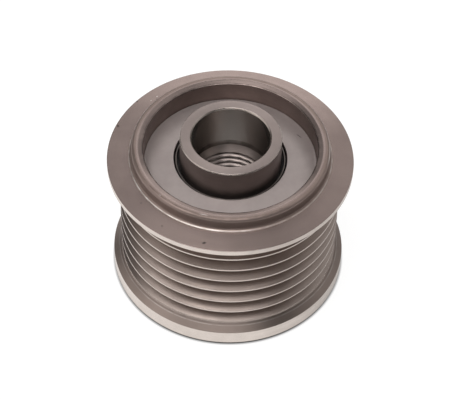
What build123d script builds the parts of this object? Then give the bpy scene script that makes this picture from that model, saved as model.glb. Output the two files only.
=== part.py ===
from build123d import *
import math
import os

# Overrunning alternator pulley with seven V grooves.
# Millimetres. Z is the axis, with the alternator side up, and Z = 0 is the front face of the outer ring.
# Radii are worked out from the diameters below, and heights from the front face upwards.

# Belt grooves, PK profile
groove_count = 7
groove_pitch = 3.56
groove_angle = 40.0
crest_diameter = 48.6
crest_width = 0.40
root_width = 0.70

# Front flange of the outer ring
front_flange_diameter = 52.24
front_flange_band = 3.83
front_flange_cone = 1.50
front_land_width = 0.44
front_edge_chamfer = 0.45

# Rear flange of the outer ring
rear_flange_diameter = 53.7
rear_flange_band = 1.25
rear_land_width = 0.31
rear_flange_undercut = 0.70
rear_flange_rise = 0.85

# Rim behind the rear flange, with the recess that holds the end disc
rim_wall = 2.65
rim_height = 2.85
rim_neck_chamfer = 0.55
rim_shoulder_chamfer = 0.40
rim_bevel_width = 1.20
rim_bevel_drop = 0.20
recess_depth = 6.1
disc_seat_width = 2.4

# End disc, dished upwards to the hub
disc_thickness = 1.1
disc_flat_width = 0.55
disc_dish = 1.15
disc_hole_gap = 1.30

# Hub: pilot bore and thread for the alternator shaft, toothed socket for the fitting tool
hub_neck_diameter = 22.1
hub_stand_out = 2.6
hub_front_setback = 2.0
hub_edge_chamfer = 0.20
pilot_diameter = 17.0
pilot_depth = 11.3
pilot_lead_in = 1.6
thread_diameter = 16.0
thread_minor_diameter = 14.376
thread_length = 12.0
thread_relief_length = 1.0
thread_relief_diameter = 16.8
socket_tooth_count = 33
socket_minor_diameter = 17.2
socket_major_diameter = 20.0
socket_root_width = 0.25
socket_tip_width = 0.20
socket_mouth_chamfer = 0.5
collar_step = 1.6
collar_width = 1.2

# Needle bearings and clamping rollers share the space between raceway and sleeve
raceway_diameter = 24.0
roller_diameter = 2.5
rolling_play = 0.04
needle_count = 12
needle_length = 3.9
needle_cage_width = 5.0
cage_gap_inner = 0.35
cage_gap_outer = 0.35
pocket_play = 0.05
cage_end_play = 0.08

# Clutch sleeve with its clamping ramps
sleeve_wall = 0.92
sleeve_lip_thickness = 0.8
sleeve_lip_reach = 1.85
ramp_count = 10
ramp_rise = 0.38
ramp_span = 31.0
roller_angle = 7.75
clutch_bar_rim = 0.8
lug_span = 3.0
lug_reach = 0.12

# Leaf springs behind the clamping rollers
spring_strip = 0.14
spring_folds = 4
spring_height = 1.3
spring_gap = 0.12
spring_side_gap = 0.95

# Thrust rings on both sides of the hub's collar
thrust_ring_thickness = 0.75
thrust_play = 0.06

# Seals
front_recess_depth = 3.6
front_seat_width = 0.9
cap_groove_height = 1.5
cap_groove_width = 1.0
cap_groove_depth = 0.45
seal_seat_step = 1.0
front_seal_width = 3.0
seal_sheet = 0.6
seal_end_play = 0.08
seal_neck_gap = 0.30
seal_neck_sheet = 0.40
seal_neck_drop = 0.42
lip_play = 0.06
lip_width = 0.9
lip_thickness = 0.45
lip_root_height = 1.8
lip_tip_height = 1.35
lip_bond = 0.03

# Heights along the axis, from the front face of the outer ring
front_cone_top = front_flange_band + front_flange_cone
first_crest = front_cone_top + front_land_width - crest_width / 2
last_crest = first_crest + groove_count * groove_pitch
rear_land_top = last_crest + rear_land_width
rear_band_bottom = rear_land_top + rear_flange_undercut
rear_band_top = rear_band_bottom + rear_flange_band
rim_foot = rear_band_top + rear_flange_rise
rim_top = rim_foot + rim_height
disc_seat = rim_top - recess_depth
hub_top = rim_top + hub_stand_out
hub_front = hub_front_setback

# Radii
crest_radius = crest_diameter / 2
half_groove_angle = math.radians(groove_angle / 2)
groove_depth = (groove_pitch - crest_width - root_width) / 2 / math.tan(half_groove_angle)
root_radius = crest_radius - groove_depth
raceway_radius = raceway_diameter / 2
rolling_radius = raceway_radius + rolling_play + roller_diameter / 2
sleeve_bore_radius = rolling_radius + roller_diameter / 2 + rolling_play
sleeve_radius = sleeve_bore_radius + sleeve_wall
seal_seat_radius = sleeve_radius + seal_seat_step
cage_inner_radius = raceway_radius + cage_gap_inner
cage_outer_radius = sleeve_bore_radius - cage_gap_outer
neck_radius = hub_neck_diameter / 2
collar_radius = raceway_radius + collar_step
front_recess_radius = seal_seat_radius + front_seat_width
recess_radius = seal_seat_radius + disc_seat_width
rim_radius = recess_radius + rim_wall

# Stack between the disc seat and the front recess, from the rear
thrust_space = thrust_ring_thickness + 2 * thrust_play
rear_seal_width = 2 * thrust_space + collar_width + seal_sheet + 2 * seal_end_play
sleeve_top = disc_seat - rear_seal_width
front_seal_seat = front_recess_depth
sleeve_bottom = front_seal_seat + front_seal_width
collar_bottom = sleeve_top + thrust_space
collar_top = collar_bottom + collar_width
sleeve_inner_bottom = sleeve_bottom + sleeve_lip_thickness
sleeve_inner_top = sleeve_top - sleeve_lip_thickness
front_cage_bottom = sleeve_inner_bottom + cage_end_play
rear_cage_bottom = sleeve_inner_top - cage_end_play - needle_cage_width
clutch_bottom = front_cage_bottom + needle_cage_width + cage_end_play
clutch_top = rear_cage_bottom - cage_end_play
clutch_width = clutch_top - clutch_bottom
clutch_middle = (clutch_bottom + clutch_top) / 2
roller_length = clutch_width - 2 * clutch_bar_rim - 2 * pocket_play

# The disc's top at its hole, and the seal's neck that ends just below it
disc_hole_radius = neck_radius + disc_hole_gap
disc_hole_top = disc_seat + disc_thickness + disc_dish
seal_neck_radius = disc_hole_radius - seal_neck_gap
seal_neck_top = disc_hole_top - seal_neck_drop


def turned(*outline):
    """Turn a closed outline of (radius, height) points about the axis."""
    return revolve(make_face(Plane.XZ * Polyline(*outline, close=True)), Axis.Z)


def at_angle(radius, degrees):
    """A point of the cross section at a radius and an angle."""
    angle = math.radians(degrees)
    return (radius * math.cos(angle), radius * math.sin(angle))


def groove_points():
    """The V grooves from the front land to the rear one, root flats between sloping flanks."""
    points = []
    for index in range(groove_count):
        middle = first_crest + (index + 0.5) * groove_pitch
        points += [
            (crest_radius, middle - groove_pitch / 2 + crest_width / 2),
            (root_radius, middle - root_width / 2),
            (root_radius, middle + root_width / 2),
            (crest_radius, middle + groove_pitch / 2 - crest_width / 2),
        ]
    return points


def make_outer_ring():
    """The turned ring: flanges, grooves and rim outside, stepped bore and recess inside."""
    front_radius = front_flange_diameter / 2
    rear_radius = rear_flange_diameter / 2
    cap_groove_radius = front_recess_radius + cap_groove_depth
    cap_groove_top = cap_groove_height + cap_groove_width
    return turned(
        (front_recess_radius, 0),
        (front_radius - front_edge_chamfer, 0),
        (front_radius, front_edge_chamfer),
        (front_radius, front_flange_band),
        (crest_radius, front_cone_top),
        *groove_points(),
        (crest_radius, rear_land_top),
        (rear_radius, rear_band_bottom),
        (rear_radius, rear_band_top),
        (rim_radius + rim_neck_chamfer, rim_foot),
        (rim_radius, rim_foot + rim_neck_chamfer),
        (rim_radius, rim_top - rim_shoulder_chamfer),
        (rim_radius - rim_shoulder_chamfer, rim_top),
        (recess_radius + rim_bevel_width, rim_top),
        (recess_radius, rim_top - rim_bevel_drop),
        (recess_radius, disc_seat),
        (seal_seat_radius, disc_seat),
        (seal_seat_radius, sleeve_top),
        (sleeve_radius, sleeve_top),
        (sleeve_radius, sleeve_bottom),
        (seal_seat_radius, sleeve_bottom),
        (seal_seat_radius, front_seal_seat),
        (front_recess_radius, front_seal_seat),
        (front_recess_radius, cap_groove_top),
        (cap_groove_radius, cap_groove_top),
        (cap_groove_radius, cap_groove_height),
        (front_recess_radius, cap_groove_height),
    )


def make_end_disc():
    """The pressed disc: a flat border in the recess and a dished middle that rises to its hole."""
    fold = recess_radius - disc_flat_width
    return turned(
        (recess_radius, disc_seat),
        (recess_radius, disc_seat + disc_thickness),
        (fold, disc_seat + disc_thickness),
        (disc_hole_radius, disc_hole_top),
        (disc_hole_radius, disc_hole_top - disc_thickness),
        (fold, disc_seat),
    )


def socket_section():
    """Cross section of the toothed tool socket: V teeth round a bore."""
    minor = socket_minor_diameter / 2
    major = socket_major_diameter / 2
    pitch_angle = 360 / socket_tooth_count
    root_angle = math.degrees(socket_root_width / major)
    tip_angle = math.degrees(socket_tip_width / minor)
    points = []
    for index in range(socket_tooth_count):
        middle = index * pitch_angle
        points += [
            at_angle(minor, middle - pitch_angle / 2 + tip_angle / 2),
            at_angle(major, middle - root_angle / 2),
            at_angle(major, middle + root_angle / 2),
            at_angle(minor, middle + pitch_angle / 2 - tip_angle / 2),
        ]
    return make_face(Polyline(*points, close=True))


def make_hub():
    """The inner ring: raceway and collar outside, pilot bore, thread and tool socket inside."""
    pilot_radius = pilot_diameter / 2
    thread_radius = thread_diameter / 2
    thread_minor_radius = thread_minor_diameter / 2
    relief_radius = thread_relief_diameter / 2
    pilot_bottom = hub_top - pilot_depth
    thread_top = pilot_bottom - pilot_lead_in
    thread_bottom = thread_top - thread_length
    socket_top = thread_bottom - thread_relief_length
    thread_entry = thread_radius - thread_minor_radius
    mouth_radius = socket_major_diameter / 2 + socket_mouth_chamfer
    edge = hub_edge_chamfer
    body = turned(
        (socket_minor_diameter / 2, hub_front),
        (raceway_radius - socket_mouth_chamfer, hub_front),
        (raceway_radius, hub_front + socket_mouth_chamfer),
        (raceway_radius, collar_bottom),
        (collar_radius, collar_bottom),
        (collar_radius, collar_top),
        (neck_radius, collar_top),
        (neck_radius, hub_top - edge),
        (neck_radius - edge, hub_top),
        (pilot_radius + edge, hub_top),
        (pilot_radius, hub_top - edge),
        (pilot_radius, pilot_bottom),
        (thread_radius, thread_top),
        (thread_minor_radius, thread_top - thread_entry),
        (thread_minor_radius, thread_bottom),
        (relief_radius, thread_bottom),
        (relief_radius, socket_top),
        (socket_minor_diameter / 2, socket_top),
    )
    teeth = extrude(Pos(0, 0, hub_front) * socket_section(), socket_top - hub_front)
    mouth = turned(
        (0, hub_front),
        (mouth_radius, hub_front),
        (socket_minor_diameter / 2, hub_front + mouth_radius - socket_minor_diameter / 2),
        (0, hub_front + mouth_radius - socket_minor_diameter / 2),
    )
    return body - teeth - mouth


def make_clutch_sleeve():
    """The drawn sleeve: a lip at each end and one clamping ramp in front of every roller."""
    lip_radius = sleeve_bore_radius - sleeve_lip_reach
    shell = turned(
        (sleeve_radius, sleeve_bottom),
        (sleeve_radius, sleeve_top),
        (lip_radius, sleeve_top),
        (lip_radius, sleeve_inner_top),
        (sleeve_bore_radius, sleeve_inner_top),
        (sleeve_bore_radius, sleeve_inner_bottom),
        (lip_radius, sleeve_inner_bottom),
        (lip_radius, sleeve_bottom),
    )
    tight = at_angle(sleeve_bore_radius, 0)
    halfway = at_angle(sleeve_bore_radius + ramp_rise / 2, ramp_span / 2)
    loose = at_angle(sleeve_bore_radius + ramp_rise, ramp_span)
    inner_tight = at_angle(cage_outer_radius, 0)
    inner_loose = at_angle(cage_outer_radius, ramp_span)
    ramp_line = ThreePointArc(tight, halfway, loose)
    back = Polyline(loose, inner_loose, inner_tight, tight)
    ramp_face = make_face(Wire([ramp_line, *back.edges()]))
    ramp = extrude(Pos(0, 0, clutch_bottom) * ramp_face, clutch_width)
    for index in range(ramp_count):
        shell -= Rot(0, 0, index * 360 / ramp_count) * ramp
    return shell


def cage_ring(bottom, height):
    """The plain ring that a cage's pockets are cut from."""
    return turned(
        (cage_inner_radius, bottom),
        (cage_outer_radius, bottom),
        (cage_outer_radius, bottom + height),
        (cage_inner_radius, bottom + height),
    )


def make_needle_cage(bottom):
    """A cage with one pocket for each needle."""
    cage = cage_ring(bottom, needle_cage_width)
    middle = bottom + needle_cage_width / 2
    depth = cage_outer_radius - cage_inner_radius + 2 * pocket_play + cage_gap_inner
    pocket = Box(depth, roller_diameter + 2 * pocket_play, needle_length + 2 * pocket_play)
    for index in range(needle_count):
        cage -= Rot(0, 0, index * 360 / needle_count) * Pos(rolling_radius, 0, middle) * pocket
    return cage


def make_needle(bottom, index):
    """One needle of a row, in its pocket."""
    middle = bottom + needle_cage_width / 2
    needle = Cylinder(roller_diameter / 2, needle_length)
    return Rot(0, 0, index * 360 / needle_count) * Pos(rolling_radius, 0, middle) * needle


# Clutch pockets. Angles run from the tight end of the ramp, where the roller clamps, to its loose end.
pocket_start = roller_angle - math.degrees((roller_diameter / 2 + pocket_play) / rolling_radius)
lug_end = ramp_span - math.degrees(pocket_play / sleeve_bore_radius)
lug_start = lug_end - lug_span
pocket_span = lug_start - pocket_start
clutch_pocket_width = 2 * rolling_radius * math.sin(math.radians(pocket_span / 2))


def make_clutch_cage():
    """The clutch cage: a wide pocket for each roller with its spring, and a lug in each ramp."""
    cage = cage_ring(clutch_bottom, clutch_width)
    pocket_middle = pocket_start + pocket_span / 2
    depth = cage_outer_radius - cage_inner_radius + 2 * pocket_play + cage_gap_inner
    pocket = Box(depth, clutch_pocket_width, roller_length + 2 * pocket_play)
    lug_radius = sleeve_bore_radius + lug_reach
    lug_outline = Polyline(
        at_angle(cage_outer_radius - cage_gap_outer, lug_start),
        at_angle(lug_radius, lug_start),
        at_angle(lug_radius, lug_end),
        at_angle(cage_outer_radius - cage_gap_outer, lug_end),
        close=True,
    )
    lug = extrude(Pos(0, 0, clutch_bottom + clutch_bar_rim) * make_face(lug_outline), roller_length)
    for index in range(ramp_count):
        turn = Rot(0, 0, index * 360 / ramp_count)
        cage += turn * lug
        cage -= turn * Rot(0, 0, pocket_middle) * Pos(rolling_radius, 0, clutch_middle) * pocket
    return cage


def make_clutch_roller(index):
    """One clamping roller, on its ramp."""
    angle = index * 360 / ramp_count + roller_angle
    return Rot(0, 0, angle) * Pos(rolling_radius, 0, clutch_middle) * Cylinder(roller_diameter / 2, roller_length)


def make_clutch_spring(index):
    """One folded leaf spring, between the roller and the far wall of its pocket."""
    start = roller_diameter + pocket_play + spring_gap - clutch_pocket_width / 2
    end = clutch_pocket_width / 2 - spring_gap
    fold_pitch = (end - start) / spring_folds
    points = []
    for fold in range(spring_folds + 1):
        side = 1 if fold % 2 else -1
        points.append((side * spring_height / 2, start + fold * fold_pitch))
    strip = trace(Polyline(*points), spring_strip)
    length = roller_length - 2 * spring_side_gap
    leaf = extrude(Pos(0, 0, -length / 2) * strip, length)
    angle = index * 360 / ramp_count + pocket_start + pocket_span / 2
    return Rot(0, 0, angle) * Pos(rolling_radius, 0, clutch_middle) * leaf


def make_thrust_ring(bottom):
    """A flat plastic ring that takes the hub's axial load."""
    inner = raceway_radius + cage_gap_inner
    outer = seal_seat_radius - seal_sheet - thrust_play
    return turned(
        (inner, bottom),
        (outer, bottom),
        (outer, bottom + thrust_ring_thickness),
        (inner, bottom + thrust_ring_thickness),
    )


def make_rear_seal_case():
    """The rear seal's steel carrier: a sleeve in the seat, a flange and a neck up into the disc's hole."""
    top = disc_seat - seal_end_play
    under = top - seal_sheet
    inner = seal_neck_radius - seal_neck_sheet
    return turned(
        (seal_seat_radius, sleeve_top + seal_end_play),
        (seal_seat_radius, top),
        (seal_neck_radius, top),
        (seal_neck_radius, seal_neck_top),
        (inner, seal_neck_top),
        (inner, under),
        (seal_seat_radius - seal_sheet, under),
        (seal_seat_radius - seal_sheet, sleeve_top + seal_end_play),
    )


def make_rear_seal_lip():
    """The rubber lip inside the neck, slanting up to the hub."""
    outer = seal_neck_radius - seal_neck_sheet - lip_bond
    tip = neck_radius + lip_play
    foot = disc_seat - seal_end_play - seal_sheet
    return turned(
        (outer, foot),
        (outer, foot + lip_root_height),
        (tip, foot + lip_tip_height),
        (outer - lip_thickness, foot),
    )


def make_front_seal_case():
    """The front seal's steel carrier: a sleeve in the seat and a flange towards the hub."""
    bottom = front_seal_seat + seal_end_play
    top = sleeve_bottom - seal_end_play
    inner = raceway_radius + lip_width
    return turned(
        (inner, bottom),
        (seal_seat_radius, bottom),
        (seal_seat_radius, top),
        (seal_seat_radius - seal_sheet, top),
        (seal_seat_radius - seal_sheet, bottom + seal_sheet),
        (inner, bottom + seal_sheet),
    )


def make_front_seal_lip():
    """The rubber lip on the front flange, slanting in to the raceway's end."""
    foot = front_seal_seat + seal_end_play + seal_sheet + lip_bond
    root = raceway_radius + 2 * lip_width
    tip = raceway_radius + lip_play
    return turned(
        (root, foot),
        (root, foot + lip_thickness),
        (tip, foot + lip_tip_height),
        (tip + lip_thickness / 2, foot),
    )


def make_nodes():
    """Every piece of the pulley under its own name."""
    nodes = {
        "outer_ring": make_outer_ring(),
        "end_disc": make_end_disc(),
        "hub": make_hub(),
        "clutch_sleeve": make_clutch_sleeve(),
        "clutch_cage": make_clutch_cage(),
        "front_needle_cage": make_needle_cage(front_cage_bottom),
        "rear_needle_cage": make_needle_cage(rear_cage_bottom),
        "front_thrust_ring": make_thrust_ring(sleeve_top + thrust_play),
        "rear_thrust_ring": make_thrust_ring(collar_top + thrust_play),
        "rear_seal_case": make_rear_seal_case(),
        "rear_seal_lip": make_rear_seal_lip(),
        "front_seal_case": make_front_seal_case(),
        "front_seal_lip": make_front_seal_lip(),
    }
    for index in range(ramp_count):
        nodes[f"clutch_roller_{index + 1:02d}"] = make_clutch_roller(index)
        nodes[f"clutch_spring_{index + 1:02d}"] = make_clutch_spring(index)
    for index in range(needle_count):
        nodes[f"front_needle_{index + 1:02d}"] = make_needle(front_cage_bottom, index)
        nodes[f"rear_needle_{index + 1:02d}"] = make_needle(rear_cage_bottom, index)
    return nodes


os.makedirs("parts", exist_ok=True)
for name, piece in make_nodes().items():
    export_step(piece, f"parts/{name}.step")
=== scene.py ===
import logging
import math
from dataclasses import dataclass
from enum import Enum
from typing import Optional, Sequence

import bpy
from mathutils import Matrix, Vector


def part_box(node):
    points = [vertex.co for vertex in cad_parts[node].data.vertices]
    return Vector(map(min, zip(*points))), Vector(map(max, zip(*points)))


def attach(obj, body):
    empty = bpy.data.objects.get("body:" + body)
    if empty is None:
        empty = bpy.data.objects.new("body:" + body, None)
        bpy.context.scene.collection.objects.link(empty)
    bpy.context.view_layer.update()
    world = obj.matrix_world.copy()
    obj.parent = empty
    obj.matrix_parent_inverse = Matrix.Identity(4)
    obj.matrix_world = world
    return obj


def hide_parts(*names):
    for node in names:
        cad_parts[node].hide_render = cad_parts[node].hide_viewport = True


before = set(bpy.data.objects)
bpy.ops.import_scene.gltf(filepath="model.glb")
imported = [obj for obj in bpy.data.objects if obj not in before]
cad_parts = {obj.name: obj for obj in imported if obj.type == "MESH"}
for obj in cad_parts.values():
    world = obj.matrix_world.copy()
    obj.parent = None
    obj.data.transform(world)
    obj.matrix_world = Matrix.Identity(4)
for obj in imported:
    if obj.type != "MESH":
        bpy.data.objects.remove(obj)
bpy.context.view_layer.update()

log = logging.getLogger("pulley")

MM = 0.001
FULL_TURN = 2.0 * math.pi
ROUND_SHARE = 0.70  # the most that a corner's round takes of the edges beside it

Point = tuple[float, float]
Span = tuple[float, float]
Colour = tuple[float, float, float]
Socket = bpy.types.NodeSocket


class Body(Enum):
    """The bodies that pieces ride on."""

    HUB = "hub"
    PULLEY = "pulley"


class RowShape(Enum):
    """How the radius of one row of the hub's skin goes round the axis."""

    ROUND = "round"
    THREADED = "threaded"
    TOOTHED = "toothed"


class Coat(Enum):
    """Which of a turned piece's finishes one face has; some are paler or darker copies of the same steel
    that paint light and shade.
    """

    FACE = "face"
    LAND = "land"
    CONE = "cone"
    RIM = "rim"
    BEVEL = "bevel"
    NECK = "neck"
    WALL = "wall"
    GROOVE = "groove"
    CREST = "crest"
    EDGE = "edge"
    BORE = "bore"
    THREAD = "thread"


class Tone(Enum):
    """Whether a small mark or painted line is darker or brighter than the metal round it; bright ones are
    mostly painted highlights and glints.
    """

    DARK = (0.05, 0.04, 0.036)
    BRIGHT = (0.92, 0.88, 0.84)


# Sections and skins


@dataclass(frozen=True)
class Corner:
    """One corner of a turned section, in millimetres.

    Attributes:
        radius: distance from the axis.
        height: height above the ring's front face.
        blend: radius of the round that breaks the corner, 0 for a sharp one.
        steps: number of flats that the round is made of.
        coat: finish of the face after this corner.
    """

    radius: float
    height: float
    blend: float = 0.0
    steps: int = 3
    coat: Coat = Coat.FACE


@dataclass
class Strip:
    """One flat of a section, from one point to the next, with the normal at each end.

    Attributes:
        start: where it starts.
        end: where it ends.
        start_normal: the outward normal at its start.
        end_normal: the outward normal at its end.
        coat: its finish.
    """

    start: Point
    end: Point
    start_normal: Point
    end_normal: Point
    coat: Coat


def unit(vector: Point) -> Point:
    """Give a section vector the length of one."""
    length = math.hypot(*vector)
    return (vector[0] / length, vector[1] / length)


class TurnedSection:
    """A section that is turned about the axis, with the material on the left of its line."""

    def __init__(self, corners: Sequence[Corner], closed: bool = True) -> None:
        """Keep the corners in the order they are met.

        Args:
            corners: the section's corners, the material on the left going round.
            closed: whether the last corner joins the first one again.
        """
        self.corners = list(corners)
        self.closed = closed

    def arc(self, index: int) -> list[tuple[Point, Optional[Point]]]:
        """Work out the points that stand for one corner.

        Args:
            index: the corner's place in the list.

        Returns:
            The points in order, each with its outward normal, or None at a sharp corner.
        """
        corner = self.corners[index]
        here = (corner.radius, corner.height)
        at_end = not self.closed and index in (0, len(self.corners) - 1)
        if corner.blend <= 0.0 or at_end:
            return [(here, None)]
        before = self.corners[index - 1]
        after = self.corners[(index + 1) % len(self.corners)]
        back = (before.radius - here[0], before.height - here[1])
        ahead = (after.radius - here[0], after.height - here[1])
        room = ROUND_SHARE * min(math.hypot(*back), math.hypot(*ahead))
        back, ahead = unit(back), unit(ahead)
        cosine = max(-1.0, min(1.0, back[0] * ahead[0] + back[1] * ahead[1]))
        half = math.acos(cosine) / 2.0
        reach = min(corner.blend / math.tan(half), room)
        blend = reach * math.tan(half)
        middle = unit((back[0] + ahead[0], back[1] + ahead[1]))
        away = blend / math.sin(half)
        centre = (here[0] + middle[0] * away, here[1] + middle[1] * away)
        turn_left = -back[0] * ahead[1] + back[1] * ahead[0] > 0.0
        outward = 1.0 if turn_left else -1.0
        first = math.atan2(here[1] + back[1] * reach - centre[1], here[0] + back[0] * reach - centre[0])
        last = math.atan2(here[1] + ahead[1] * reach - centre[1], here[0] + ahead[0] * reach - centre[0])
        sweep = (last - first + math.pi) % FULL_TURN - math.pi
        points: list[tuple[Point, Optional[Point]]] = []
        for step in range(corner.steps + 1):
            angle = first + sweep * step / corner.steps
            spoke = (math.cos(angle), math.sin(angle))
            place = (centre[0] + blend * spoke[0], centre[1] + blend * spoke[1])
            points.append((place, (spoke[0] * outward, spoke[1] * outward)))
        return points

    def strips(self) -> list[Strip]:
        """Cut the whole line into strips.

        Returns:
            The strips in order, with true normals on the rounds and flat ones between them.
        """
        found: list[Strip] = []
        arcs = [self.arc(index) for index in range(len(self.corners))]
        for index, arc in enumerate(arcs):
            coat = self.corners[index].coat
            before = self.corners[index - 1].coat
            for step, ((start, start_normal), (end, end_normal)) in enumerate(zip(arc, arc[1:])):
                nearer = before if 2 * step + 1 < self.corners[index].steps else coat
                found.append(Strip(start, end, start_normal, end_normal, nearer))
            if index + 1 == len(arcs) and not self.closed:
                break
            start = arc[-1][0]
            end = arcs[(index + 1) % len(arcs)][0][0]
            along = unit((end[0] - start[0], end[1] - start[1]))
            normal = (along[1], -along[0])
            found.append(Strip(start, end, normal, normal, coat))
        return found


def new_piece(
    name: str, body: Body, mesh: bpy.types.Mesh, nodes: Sequence[str]
) -> bpy.types.Object:
    """Put a finished mesh into the scene in place of its CAD nodes.

    Args:
        name: the piece's name.
        body: the body that it rides on.
        mesh: its mesh, in metres in the row frame.
        nodes: the CAD nodes that it stands for.

    Returns:
        The new object.
    """
    piece = bpy.data.objects.new(name, mesh)
    bpy.context.scene.collection.objects.link(piece)
    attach(piece, body.value)
    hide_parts(*nodes)
    log.info("%s: %d faces on %s", name, len(mesh.polygons), body.value)
    return piece


def paint(mesh: bpy.types.Mesh, coats: dict[Coat, bpy.types.Material], picks: Sequence[Coat]) -> None:
    """Give every face of a mesh its coat.

    Args:
        mesh: the mesh to paint.
        coats: the material of each coat.
        picks: the coat of each face, in the faces' order.
    """
    slots = {coat: index for index, coat in enumerate(coats)}
    for material in coats.values():
        mesh.materials.append(material)
    mesh.polygons.foreach_set("material_index", [slots[pick] for pick in picks])


def turned_mesh(
    name: str, section: TurnedSection, segments: int, coats: dict[Coat, bpy.types.Material]
) -> bpy.types.Mesh:
    """Turn a closed section into a skin of quads with exact normals.

    Args:
        name: the mesh's name.
        section: the section to turn, in millimetres.
        segments: number of flats round the axis.
        coats: the material of each coat that the section names.

    Returns:
        The closed mesh, in metres.
    """
    strips = section.strips()
    count = len(strips)
    angles = [FULL_TURN * step / segments for step in range(segments)]
    spokes = [(math.cos(angle), math.sin(angle)) for angle in angles]
    vertices = [
        (strip.start[0] * MM * cosine, strip.start[0] * MM * sine, strip.start[1] * MM)
        for strip in strips
        for cosine, sine in spokes
    ]
    faces = []
    normals = []
    for index, strip in enumerate(strips):
        low = index * segments
        high = (index + 1) % count * segments
        for step in range(segments):
            after = (step + 1) % segments
            faces.append((low + step, low + after, high + after, high + step))
            for spoke, normal in (
                (spokes[step], strip.start_normal),
                (spokes[after], strip.start_normal),
                (spokes[after], strip.end_normal),
                (spokes[step], strip.end_normal),
            ):
                normals.append((normal[0] * spoke[0], normal[0] * spoke[1], normal[1]))
    mesh = bpy.data.meshes.new(name)
    mesh.from_pydata(vertices, [], faces)
    paint(mesh, coats, [strip.coat for strip in strips for _ in range(segments)])
    mesh.update()
    mesh.shade_smooth()
    mesh.normals_split_custom_set(normals)
    return mesh


# Finishes


@dataclass(frozen=True)
class Mark:
    """A small spot at a named place on the steel, in millimetres: a speck or scratch, and on the rim's neck
    a painted glint where it is bright.

    Attributes:
        place: where its middle is.
        length: how long it is.
        width: how wide it is.
        heading: the direction of its length, in degrees from +X.
        tone: dark or bright.
    """

    place: tuple[float, float, float]
    length: float
    width: float
    heading: float
    tone: Tone


@dataclass(frozen=True)
class PaintedLine:
    """A fine painted line round the axis, in millimetres: a dark one is painted shade, a bright one a
    painted highlight.

    Attributes:
        radius: its radius.
        width: how wide it is.
        low: the height above which it lies.
        high: the height below which it lies.
        amount: how clear it is, from 0 to 1.
        tone: dark for painted shade, bright for painted highlight.
        middle: the direction of the middle of its arc, in degrees from +X.
        reach: how far it runs to each side of that, 180 for all the way round.
    """

    radius: float
    width: float
    low: float
    high: float
    amount: float
    tone: Tone = Tone.DARK
    middle: float = 0.0
    reach: float = 180.0


class NodeBench:
    """Lays out the nodes of one tree."""

    def __init__(self, tree: bpy.types.NodeTree) -> None:
        """Start on a tree and clear it."""
        self.tree = tree
        self.tree.nodes.clear()

    def add(self, kind: str) -> bpy.types.Node:
        """Add a node of one kind."""
        return self.tree.nodes.new(kind)

    def link(self, source: Socket, target: Socket) -> None:
        """Join two sockets."""
        self.tree.links.new(source, target)

    def feed(self, socket: Socket, value: object) -> None:
        """Give a socket a link or a plain value.

        Args:
            socket: the socket to feed.
            value: another node's output, or a number or vector.
        """
        if isinstance(value, Socket):
            self.link(value, socket)
        else:
            socket.default_value = value

    def sum(self, operation: str, first: object, second: object = 0.0, third: object = 0.0) -> Socket:
        """Add a Math node.

        Args:
            operation: the node's operation.
            first: its first input, a socket or a number.
            second: its second input.
            third: its third input, for the operations that have one.

        Returns:
            The node's output.
        """
        node = self.add("ShaderNodeMath")
        node.operation = operation
        for place, value in enumerate((first, second, third)):
            self.feed(node.inputs[place], value)
        return node.outputs[0]

    def vector(self, operation: str, first: object, second: object = (0.0, 0.0, 0.0)) -> bpy.types.Node:
        """Add a Vector Math node.

        Args:
            operation: the node's operation.
            first: its first input, a socket or a vector.
            second: its second input, for the operations that have one.

        Returns:
            The node, since some operations give a vector and some a number.
        """
        node = self.add("ShaderNodeVectorMath")
        node.operation = operation
        self.feed(node.inputs[0], first)
        self.feed(node.inputs[1], second)
        return node

    def place(self) -> Socket:
        """Give the place on the piece, in metres in the row frame."""
        return self.add("ShaderNodeTexCoord").outputs["Object"]

    def combine(self, x: object, y: object, z: object) -> Socket:
        """Make one vector of three numbers.

        Args:
            x: the first number, a socket or plain.
            y: the second number.
            z: the third number.

        Returns:
            The vector.
        """
        node = self.add("ShaderNodeCombineXYZ")
        for place, value in enumerate((x, y, z)):
            self.feed(node.inputs[place], value)
        return node.outputs[0]

    def separate(self, vector: Socket) -> tuple[Socket, ...]:
        """Take a vector apart into its three numbers.

        Args:
            vector: the vector.

        Returns:
            Its x, y and z.
        """
        node = self.add("ShaderNodeSeparateXYZ")
        self.link(vector, node.inputs[0])
        return tuple(node.outputs)

    def spread(self, value: object, span: Span, onto: Span = (0.0, 1.0), soft: bool = False) -> Socket:
        """Map one range of numbers onto another.

        Args:
            value: the number to map.
            span: the start and the end of its range.
            onto: what the start and the end become.
            soft: whether it leaves the one and meets the other gently.

        Returns:
            The mapped number, held within the new range.
        """
        node = self.add("ShaderNodeMapRange")
        if soft:
            node.interpolation_type = "SMOOTHSTEP"
        for place, number in enumerate((value, *span, *onto)):
            self.feed(node.inputs[place], number)
        return node.outputs[0]


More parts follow.
